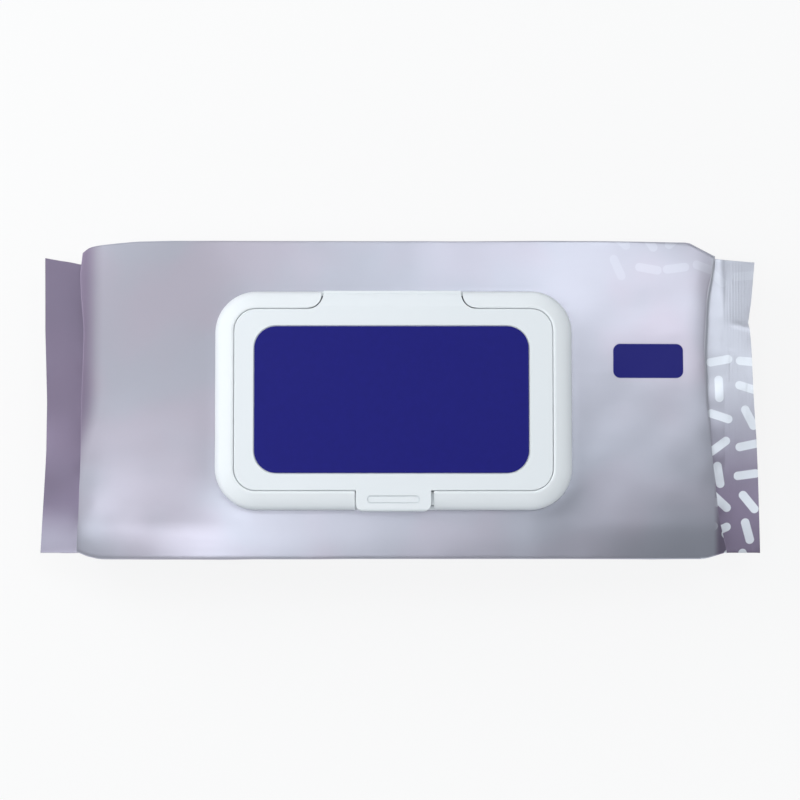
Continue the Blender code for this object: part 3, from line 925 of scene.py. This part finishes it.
def gathers(x, y, z, wrinkle):
    """Folds of the end walls, which fan out from the gussets."""
    end = smooth_step(*GATHERS_START, np.abs(x)) * (1 - smooth_step(*GATHERS_END, np.abs(x)))
    waver = grid_noise(x * 0.6, y, 9 * MM, 3.1)
    ripple = grid_noise(x * 0.35 + z * 0.2, y, 5 * MM, 7.7)
    return wrinkle * end * np.where(x > 0, RIGHT_GATHERS, LEFT_GATHERS) * (0.7 * waver + 0.45 * ripple)


def past_bend(x, y):
    """How far a point lies past the slanting line where the right fin bends."""
    return y - FIN_BEND_LINE + FIN_BEND_SLANT * (np.abs(x) - SEAL_START)


def fin_lift(x, y, look):
    """How far a fin is lifted by its pressed lines, the right fin's bend and a slow wave."""
    lines = np.sin(2 * math.pi * np.abs(x) / look.crimp_pitch)
    press = np.where(x > 0, 1.0, LEFT_PRESS) * (0.7 + 0.5 * grid_noise(x, y, 6 * MM, 1.3))
    reach = np.clip((np.abs(x) - FIN_FOOT) / (FIN_REACH - FIN_FOOT), 0, 1)
    past = past_bend(x, y)
    past = (past + np.hypot(past, FIN_BEND_SOFTNESS)) / 2
    bend = np.where(x > 0, past * FIN_BEND_SLOPE * reach, 0.0)
    wave = grid_noise(x * 0.5, y, 26 * MM, 8.0)
    return look.crimp_depth * lines * press + bend + FIN_WAVE * wave * reach


def add_relief(points, look):
    """Moves the smooth sleeve's points to make its folds, creases, crimps and seam."""
    x, y, z = (points[:, :, i].copy() for i in range(3))
    normal = outward(points)
    upper = smooth_step(*TOP_FADE, z)
    body = on_body(x)
    points[:, :, 2] -= sink_of_top(x, y, look.crown) * upper
    push = gathers(x, y, z, look.wrinkle)
    swell = SWELL_HEIGHT * grid_noise(x, y, 34 * MM, 11.0) + RIPPLE_HEIGHT * grid_noise(x, y, 12 * MM, 5.0)
    push += swell * upper * body * beside_frame(x, y)

    side = smooth_step(*SIDE_FACING, np.abs(normal[:, :, 1]))
    push -= SIDE_CREASE_DEPTH * side * ridge(z - MID_HEIGHT, SIDE_CREASE_WIDTH) * body
    away_from_edge = smooth_step(*SIDE_WAVE_FADE, np.abs(z - MID_HEIGHT))
    waves = grid_noise(x, z * 0.5, 12 * MM, 2.2) + grid_noise(x, z * 0.6, 30 * MM, 6.6)
    push += SIDE_WAVER * side * away_from_edge * waves
    points += normal * push[:, :, None]

    right = x > 0
    points[:, :, 2] += smooth_step(*FIN_START, np.abs(x)) * fin_lift(x, y, look)
    root = ridge(np.abs(x) - SEAL_START, ROOT_LINE_WIDTH)
    flat = right & (np.abs(z - MID_HEIGHT) < ROOT_LINE_HEIGHT)
    points[:, :, 2] -= ROOT_LINE_DEPTH * root * np.sign(normal[:, :, 2]) * flat
    fold = ridge(past_bend(x, y), NOTCH_WIDTH) * smooth_step(*NOTCH_START, np.abs(x))
    points[:, :, 2] -= NOTCH_DEPTH * fold * right

    under = smooth_step(*BASE_FADE, z)
    step = smooth_step(SEAM_HALF_WIDTH - SEAM_SOFTNESS, SEAM_HALF_WIDTH + SEAM_SOFTNESS, np.abs(y))
    points[:, :, 2] += SEAM_HEIGHT * under * step * body
    points[:, :, 2] = np.maximum(points[:, :, 2], POUCH_LOW.z)
    return points


def film_mesh(look):
    """The sleeve's mesh, with its unrolled places kept on its points."""
    points = sleeve_grid()
    along = film_lengths(points)
    across = film_widths(points)
    points = add_relief(points, look)
    rings, columns = along.shape
    bm = bmesh.new()
    grid = [[bm.verts.new(point) for point in row] for row in points]
    bridge(bm, grid)
    for row in (grid[0], grid[-1]):
        for i in range(columns // 2):
            corners = (row[i], row[i + 1], row[columns - i - 1], row[(columns - i) % columns])
            bm.faces.new(list(dict.fromkeys(corners)))
    piece = add_piece("film_sleeve", bm, 60.0)
    flat = np.stack((along.ravel(), across.ravel(), np.zeros(rings * columns)), axis=1)
    attribute = piece.data.attributes.new(FLAT, "FLOAT_VECTOR", "POINT")
    attribute.data.foreach_set("vector", flat.astype(np.float32).ravel())
    return piece


# Frame and lid, in the lid unit's own axes


def unit_ring(depth, z):
    """Points of a ring at a depth inwards from the lid unit's outline."""
    corner = max(UNIT_CORNER - depth, WINDOW_CORNER)
    outline = rounded_rectangle(UNIT_HALF_LENGTH - depth, UNIT_HALF_DEPTH - LONG_RIM_SHARE * depth, corner)
    return [(x, y, z) for x, y in outline]


def rim_dome():
    """The rim's outer side as (depth, z) in mm: a short wall, then a domed slope up to the crest."""
    knots = ((0.0, 3.0), (0.4, 4.4), (1.2, 5.6), (2.4, 6.5), (3.8, 7.15), (5.0, 7.5))
    depths, heights = zip(*knots)
    fine = np.array((0.0, 0.1, 0.25, 0.45, 0.7, 1.0, 1.4, 1.9, 2.5, 3.1, 3.7, 4.3, 4.7, 5.0))
    curve = np.interp(fine, depths, heights)
    curve[1:-1] = (curve[:-2] + 2 * curve[1:-1] + curve[2:]) / 4
    return list(zip(fine, curve))


def frame_piece():
    """The moulded frame: a hollow rounded rim, a floor and a low wall round the window."""
    rim = [(0, 0), *rim_dome(), *arc((5.4, 7.0), 0.5, 90, 0, 4), (5.9, 1.2)]
    window_wall = [(13.0, 1.2), (13.0, 4.0), (13.2, 4.2), (14.0, 4.2), (14.2, 4.0), (14.2, 0)]
    hollow = [(4.7, 0), (4.7, 6.1), (3.0, 5.4), (1.5, 3.9), (1.2, 0)]
    section = rim + window_wall + hollow
    rings = [unit_ring(depth * MM, z * MM) for depth, z in section]
    piece = add_piece("lid_frame_moulding", shell(rings, closed=True))
    top = UNIT_HEIGHT + CUT_MARGIN
    tongue_room = tongue_outline(TONGUE_GAP, RIM_DEPTH + LID_GAP)
    combine(piece, prism(tongue_room, TONGUE_SEAT, top), "DIFFERENCE")
    tab_room = tab_outline(TAB_GAP, CUT_MARGIN, RIM_DEPTH + LID_GAP, TAB_SLOT_SHIFT)
    combine(piece, prism(tab_room, TAB_SEAT, top), "DIFFERENCE")
    half = TAB_HALF_WIDTH + TAB_GAP + WALL
    front = TAB_SHELF_FRONT - UNIT_HALF_DEPTH
    back = RIM_DEPTH - TAB_SHELF_BACK - UNIT_HALF_DEPTH
    shelf = [(half, front), (half, back), (-half, back), (-half, front)]
    combine(piece, prism(shelf, TAB_SHELF_FOOT, TAB_SHELF), "UNION")
    return piece


def tongue_outline(clearance, depth):
    """The tongue from above, wider towards the lid, where two hollow arcs meet the lid's edge."""
    radius = TONGUE_FLARE - clearance
    centre_x = TONGUE_HALF_WIDTH + TONGUE_FLARE
    centre_y = UNIT_HALF_DEPTH - LONG_RIM_SHARE * (RIM_DEPTH + LID_GAP) + TONGUE_FLARE
    hollow = arc((centre_x, centre_y), radius, 180, 270, 10)
    right = [(centre_x - radius, UNIT_HALF_DEPTH + CUT_MARGIN), *hollow]
    right.append((centre_x, UNIT_HALF_DEPTH - depth - MM))
    left = [(-x, y) for x, y in reversed(right)]
    return [(x + TONGUE_X, y) for x, y in right + left]


def tab_outline(clearance, reach, depth, shift=0.0):
    """The thumb tab from above, with its two front corners rounded."""
    half = TAB_HALF_WIDTH + clearance
    front = -UNIT_HALF_DEPTH - reach
    corner = arc((half - TAB_CORNER, front + TAB_CORNER), TAB_CORNER, 0, -90, 8)
    right = [(half, -UNIT_HALF_DEPTH + depth), *corner]
    left = [(-x, y) for x, y in reversed(right)]
    return [(x + shift, y) for x, y in right + left]


def tongue_mesh():
    """The tongue: it follows the rim's dome over its back and ends above the hinge line."""
    back = [(depth, z - TONGUE_SINK) for depth, z in reversed(rim_dome()) if z > TONGUE_DOME_START]
    dome = [(depth * MM, z * MM) for depth, z in back]
    end = -TONGUE_OVERHANG
    outer = [(JOIN_DEPTH, LID_TOP), *dome, (0.25 * MM, 4.95 * MM), (end, 4.75 * MM), (end, TONGUE_FOOT)]
    inner = [(1.8 * MM, TONGUE_FOOT), (2.4 * MM, 5.1 * MM), (3.8 * MM, LID_UNDER), (JOIN_DEPTH, LID_UNDER)]
    profile = [(UNIT_HALF_DEPTH - depth, z) for depth, z in outer + inner]
    solid = bar(profile, TONGUE_HALF_WIDTH + 2 * TONGUE_FLARE, TONGUE_X)
    foot, top = (tongue_outline(clearance, JOIN_DEPTH) for clearance in (-TONGUE_DRAFT, 0.0))
    return common(solid, prism(foot, TONGUE_SEAT, LID_TOP + TONGUE_HEADROOM, top))


def tab_mesh():
    """The thumb tab: a short plate with a lip that hangs in front of the frame."""
    brow = arc((TAB_BROW - TAB_PROUD, LID_TOP - TAB_BROW), TAB_BROW, 90, 180, 6)
    outer = [(JOIN_DEPTH, LID_TOP), *brow, (-TAB_PROUD, TAB_FOOT)]
    inner = [(0.8 * MM, TAB_FOOT), (0.8 * MM, LID_UNDER), (JOIN_DEPTH, LID_UNDER)]
    profile = [(depth - UNIT_HALF_DEPTH, z) for depth, z in outer + inner]
    plan = prism(tab_outline(0.0, TAB_PROUD, JOIN_DEPTH + MM), 0.0, UNIT_HEIGHT + CUT_MARGIN)
    return common(bar(profile, TAB_HALF_WIDTH), plan)


def common(first, second):
    """A bmesh of what two bmeshes have in common."""
    piece = add_piece("common", first)
    combine(piece, second, "INTERSECT")
    bm = bmesh.new()
    bm.from_mesh(piece.data)
    bpy.data.objects.remove(piece, do_unlink=True)
    return bm


def lid_piece():
    """The lid: a plate with a skirt and a seal rib below it, a tongue behind and a tab in front."""
    edge = RIM_DEPTH + LID_GAP
    rib_end = SEAL_RIB_DEPTH + SEAL_RIB_WIDTH
    radius = LID_EDGE_RADIUS
    corner = [(edge + radius - dx, LID_TOP - radius + dz) for dx, dz in arc((0, 0), radius, 90, 0, 4)]
    section = [*corner, (edge + SKIRT_NECK, LID_TOP - SKIRT_NECK_DROP)]
    section += [(edge + SKIRT_DRAFT, LID_SKIRT_FOOT), (edge + WALL, LID_SKIRT_FOOT)]
    section += [(edge + WALL, LID_UNDER), (SEAL_RIB_DEPTH, LID_UNDER), (SEAL_RIB_DEPTH, LID_SKIRT_FOOT)]
    section += [(rib_end, LID_SKIRT_FOOT), (rib_end, LID_UNDER)]
    piece = add_piece("lid_moulding", shell([unit_ring(depth, z) for depth, z in section]))
    combine(piece, tongue_mesh(), "UNION")
    combine(piece, tab_mesh(), "UNION")
    recess = prism(label_outline(LABEL_CLEARANCE), LID_TOP - LABEL_RECESS, LID_TOP + CUT_MARGIN)
    combine(piece, recess, "DIFFERENCE")
    groove_floor = LID_TOP - GRIP_GROOVE_DEPTH
    combine(piece, prism(grip_outline(0.0), groove_floor, LID_TOP + CUT_MARGIN), "DIFFERENCE")
    grip = prism(grip_outline(GRIP_GROOVE_WIDTH), groove_floor - GRIP_ROOT, LID_TOP - GRIP_SINK)
    combine(piece, grip, "UNION")
    return piece


def grip_outline(inset):
    """The tab's grip bar from above, with round ends."""
    half_width = GRIP_HALF_WIDTH - inset
    centre = (0.0, GRIP_FROM_FRONT - UNIT_HALF_DEPTH)
    return rounded_rectangle(GRIP_HALF_LENGTH - inset, half_width, 0.99 * half_width, centre)


def hinge_strip():
    """The thin strip that joins the frame's back wall to the tongue, as it stands with the lid shut."""
    rise = np.linspace(0, 1, HINGE_STEPS + 1)
    height = mix(HINGE_STRIP_LOW, HINGE_STRIP_HIGH, rise)
    lean = HINGE_STRIP_LEAN * smooth_step(HINGE_LEAN_START, 1.0, rise)
    outer = [(UNIT_HALF_DEPTH + HINGE_STRIP_PROUD - back, z) for back, z in zip(lean, height)]
    inner = [(y - HINGE_STRIP_THICKNESS, z) for y, z in reversed(outer)]
    return add_piece("hinge_strip", bar(outer + inner, HINGE_STRIP_HALF_WIDTH, TONGUE_X))


def label_outline(clearance):
    centre = (LABEL_LOW + LABEL_HIGH) / 2 - UNIT
    half = (LABEL_HIGH - LABEL_LOW) / 2
    return rounded_rectangle(half.x + clearance, half.y + clearance, LABEL_CORNER + clearance, centre)


def seal_outline():
    """The peel seal from above, with a round pull tab in front."""
    half_length = (SEAL_HIGH.x - SEAL_LOW.x) / 2
    outline = rounded_rectangle(half_length, SEAL_HALF_DEPTH, SEAL_CORNER)
    centre_y = SEAL_LOW.y - UNIT.y + SEAL_TAB_RADIUS
    half_angle = math.degrees(math.acos((centre_y + SEAL_HALF_DEPTH) / SEAL_TAB_RADIUS))
    return outline + arc((0.0, centre_y), SEAL_TAB_RADIUS, 270 - half_angle, 270 + half_angle, 12)


def dress(piece, material, body, slot, *nodes):
    """Gives a finished piece its material and its body, and hides the nodes that it stands for. The slot
    is not used.
    """
    piece.data.materials.clear()
    piece.data.materials.append(material)
    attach(piece, body)
    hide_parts(*nodes)


# Operators


class WIPES_OT_film_sleeve(bpy.types.Operator):
    """Builds the film sleeve with its folds, fins and print"""

    bl_idname = "wipes.film_sleeve"
    bl_label = "Film Sleeve"

    def execute(self, context):
        look = context.scene.wipes_film
        dress(film_mesh(look), film_paint(look), "pack", "film", "film_pouch")
        return {"FINISHED"}


class WIPES_OT_lid_frame(bpy.types.Operator):
    """Builds the white frame that the lid closes into"""

    bl_idname = "wipes.lid_frame"
    bl_label = "Lid Frame"

    def execute(self, context):
        look = context.scene.wipes_lid
        piece = frame_piece()
        finish_moulding(piece, FRAME_BEVEL)
        dress(piece, plastic_paint(look), "pack", "white_plastic", "lid_frame")
        return {"FINISHED"}


class WIPES_OT_lid(bpy.types.Operator):
    """Builds the flip lid with its hinge tongue and thumb tab"""

    bl_idname = "wipes.lid"
    bl_label = "Lid"

    def execute(self, context):
        piece = lid_piece()
        finish_moulding(piece, LID_BEVEL)
        dress(piece, bpy.data.materials["white_plastic"], "lid", "white_plastic", "lid")
        return {"FINISHED"}


class WIPES_OT_hinge(bpy.types.Operator):
    """Builds the living hinge between the frame and the lid"""

    bl_idname = "wipes.hinge"
    bl_label = "Hinge"

    def execute(self, context):
        strip = hinge_strip()
        strip.data.transform(Matrix.Translation(UNIT_PLACE))
        strip.data.materials.append(bpy.data.materials["white_plastic"])
        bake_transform(strip)
        return {"FINISHED"}


class WIPES_OT_stickers(bpy.types.Operator):
    """Builds the lid's label and the peel seal under the lid"""

    bl_idname = "wipes.stickers"
    bl_label = "Stickers"

    def execute(self, context):
        look = context.scene.wipes_lid
        low, high = LABEL_LOW.z - UNIT_BASE, LABEL_HIGH.z - UNIT_BASE
        label = add_piece("lid_sticker", prism(label_outline(0.0), low, high))
        finish_moulding(label, LABEL_BEVEL)
        dress(label, label_paint(look), "lid", "label", "lid_label")
        seal = add_piece("peel_seal", prism(seal_outline(), 0.0, SEAL_HIGH.z - SEAL_LOW.z))
        finish_moulding(seal, SEAL_BEVEL)
        dress(seal, seal_paint(look), "pack", "seal", "seal_sticker")
        return {"FINISHED"}


class WIPES_OT_stage(bpy.types.Operator):
    """Sets the floor, the lamps, the room light and the camera"""

    bl_idname = "wipes.stage"
    bl_label = "Stage"

    def execute(self, context):
        studio = context.scene.wipes_studio
        floor_piece()
        room_light(context.scene, studio)
        lamps(studio)
        camera(context.scene, studio)
        context.scene.view_settings.view_transform = "Standard"
        return {"FINISHED"}


# Stage


def floor_piece():
    bm = bmesh.new()
    bmesh.ops.create_grid(bm, x_segments=1, y_segments=1, size=FLOOR_SIZE)
    piece = add_piece("floor", bm)
    piece.location.z = POUCH_LOW.z - FLOOR_GAP
    paint = Paint("floor_white", 0.9)
    paint.set("Base Color", (0.9, 0.9, 0.9))
    seen = paint.add("ShaderNodeLightPath", {}, {}, "Is Camera Ray")
    share = seen.at_least(seen.other("Is Glossy Ray")).at_least(seen.other("Is Transmission Ray"))
    glow = paint.add("ShaderNodeEmission", {}, {"Color": WHITE, "Strength": 1.0})
    matt = Wire(paint, paint.shader.outputs[0])
    bright = paint.add("ShaderNodeMixShader", {}, {0: FLOOR_GLOW, 1: matt, 2: glow})
    final = paint.add("ShaderNodeMixShader", {}, {0: share, 1: matt, 2: bright})
    output = paint.tree.nodes["Material Output"]
    paint.tree.links.new(final.socket, output.inputs["Surface"])
    piece.data.materials.append(paint.material)
    return piece


def room_light(scene, studio):
    """A room with pale walls and a dim ceiling, which the camera sees as plain white."""
    world = bpy.data.worlds.new("room")
    scene.world = world
    world.use_nodes = True
    graph = Graph(world.node_tree)
    direction = graph.add("ShaderNodeTexCoord", {}, {}, "Generated")
    towards = graph.split(direction)
    up = graph.ease(towards.other("Z"), *CEILING_HEIGHTS)
    walls = studio.walls - ROOM_FALL * towards + ROOM_GAIN * towards.other("Y")
    level = walls * (1 - up) + studio.ceiling * up
    seen = graph.add("ShaderNodeLightPath", {}, {}, "Is Camera Ray")
    background = graph.tree.nodes["Background"]
    graph.feed(background.inputs["Color"], graph.blend(seen, ROOM_TINT, WHITE))
    graph.feed(background.inputs["Strength"], level.at_least(seen))


def hang(name, data, place, back, turn=0.0):
    """Puts a lamp or a camera in its place, with its back turned to a direction."""
    item = bpy.data.objects.new(name, data)
    item.location = place
    spin = Quaternion((0.0, 0.0, 1.0), math.radians(turn))
    item.rotation_euler = (back.to_track_quat("Z", "Y") @ spin).to_euler()
    bpy.context.scene.collection.objects.link(item)
    return item


def lamp(name, tilt, distance, size, strength, tint=WHITE, turn=0.0):
    """A soft rectangular lamp aimed at the pack, tilted from the vertical towards +X and +Y.

    Tilts and turn are in degrees, and turn spins the lamp about the line to the pack.
    """
    data = bpy.data.lights.new(name, "AREA")
    data.shape = "RECTANGLE"
    data.size, data.size_y = size
    data.energy = strength * math.pi * size[0] * size[1]
    data.color = tint
    back = Vector((math.tan(math.radians(tilt[0])), math.tan(math.radians(tilt[1])), 1.0)).normalized()
    return hang(name, data, Vector((0.0, 0.0, BODY_HEIGHT)) + back * distance, back, turn)


def lamps(studio):
    lamp("window", (-49, 21), 0.42, (0.27, 0.27), studio.window)
    lamp("right_fill", (60, 8), 1.0, (0.5, 0.5), 0.85)
    glow = lamp("left_glow", (-24, 12), 0.28, (0.12, 0.12), 1.8)
    glow.visible_glossy = False
    lamp("front_left", (-9, -9), 1.6, (0.34, 0.34), 6.5, COOL_WHITE, turn=45)
    lamp("back_right", (10, 12), 1.6, (0.50, 0.36), 4.3, COOL_WHITE, turn=45)
    lamp("back", (-4, 19), 1.6, (0.80, 0.34), 0.95, COOL_WHITE)


def camera(scene, studio):
    data = bpy.data.cameras.new("camera")
    data.sensor_width = 36.0
    data.lens = studio.lens
    back = Vector((0.0, -math.cos(studio.elevation), math.sin(studio.elevation)))
    scene.camera = hang("camera", data, CAMERA_AIM + back * studio.distance, back)


class WIPES_PT_panel(bpy.types.Panel):
    """Lists the pack's pieces and its settings"""

    bl_idname = "WIPES_PT_panel"
    bl_label = "Wet Wipes Pack"
    bl_space_type = "VIEW_3D"
    bl_region_type = "UI"
    bl_category = "Wipes Pack"

    def draw(self, context):
        for operator in OPERATORS:
            self.layout.operator(operator.bl_idname)
        for group in SETTINGS:
            settings = getattr(context.scene, group)
            for name in settings.bl_rna.properties.keys():
                if name not in ("rna_type", "name"):
                    self.layout.prop(settings, name)


OPERATORS = (
    WIPES_OT_film_sleeve,
    WIPES_OT_lid_frame,
    WIPES_OT_lid,
    WIPES_OT_hinge,
    WIPES_OT_stickers,
    WIPES_OT_stage,
)
SETTINGS = {"wipes_film": FilmSettings, "wipes_lid": LidSettings, "wipes_studio": StudioSettings}
CLASSES = (*SETTINGS.values(), *OPERATORS, WIPES_PT_panel)


def register():
    for item in CLASSES:
        bpy.utils.register_class(item)
    for name, group in SETTINGS.items():
        setattr(bpy.types.Scene, name, PointerProperty(type=group))


def unregister():
    for name in SETTINGS:
        delattr(bpy.types.Scene, name)
    for item in reversed(CLASSES):
        bpy.utils.unregister_class(item)


def main():
    register()
    for operator in OPERATORS:
        group, name = operator.bl_idname.split(".")
        getattr(getattr(bpy.ops, group), name)()


if __name__ == "__main__":
    main()
